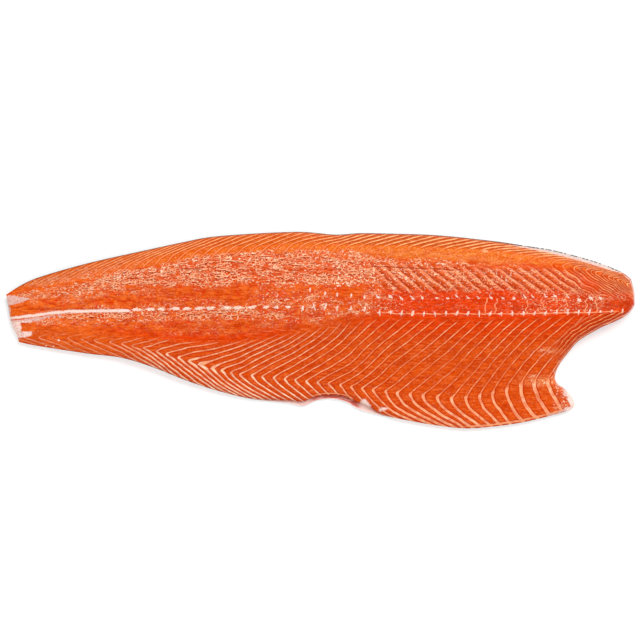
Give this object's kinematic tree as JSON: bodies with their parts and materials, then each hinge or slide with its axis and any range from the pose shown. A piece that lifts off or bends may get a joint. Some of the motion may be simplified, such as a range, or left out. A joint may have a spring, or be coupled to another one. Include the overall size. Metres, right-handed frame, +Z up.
{
  "type": "raw salmon fillet",
  "caption": "Whole raw salmon side lying skin down: orange flesh in chevron flakes with white seams, thick back, thin belly flap, notched belly edge.",
  "frame": {"origin": "middle of the box round the fillet, on its flat underside, where it meets the surface it lies on", "axes": "+X from the tail to the head end, +Y from the belly edge to the back edge, +Z up out of the flesh side"},
  "size_m": [0.6, 0.1874, 0.031],
  "materials": {
    "flesh": "moist raw muscle, deep orange with thin white seams of connective tissue, soft gloss",
    "skin": "wet scaled fish skin, blue-grey along the back, silver on the side, near white at the belly"
  },
  "bodies": {
    "root": {"salmon_fillet": "flesh"}
  },
  "joints": []
}
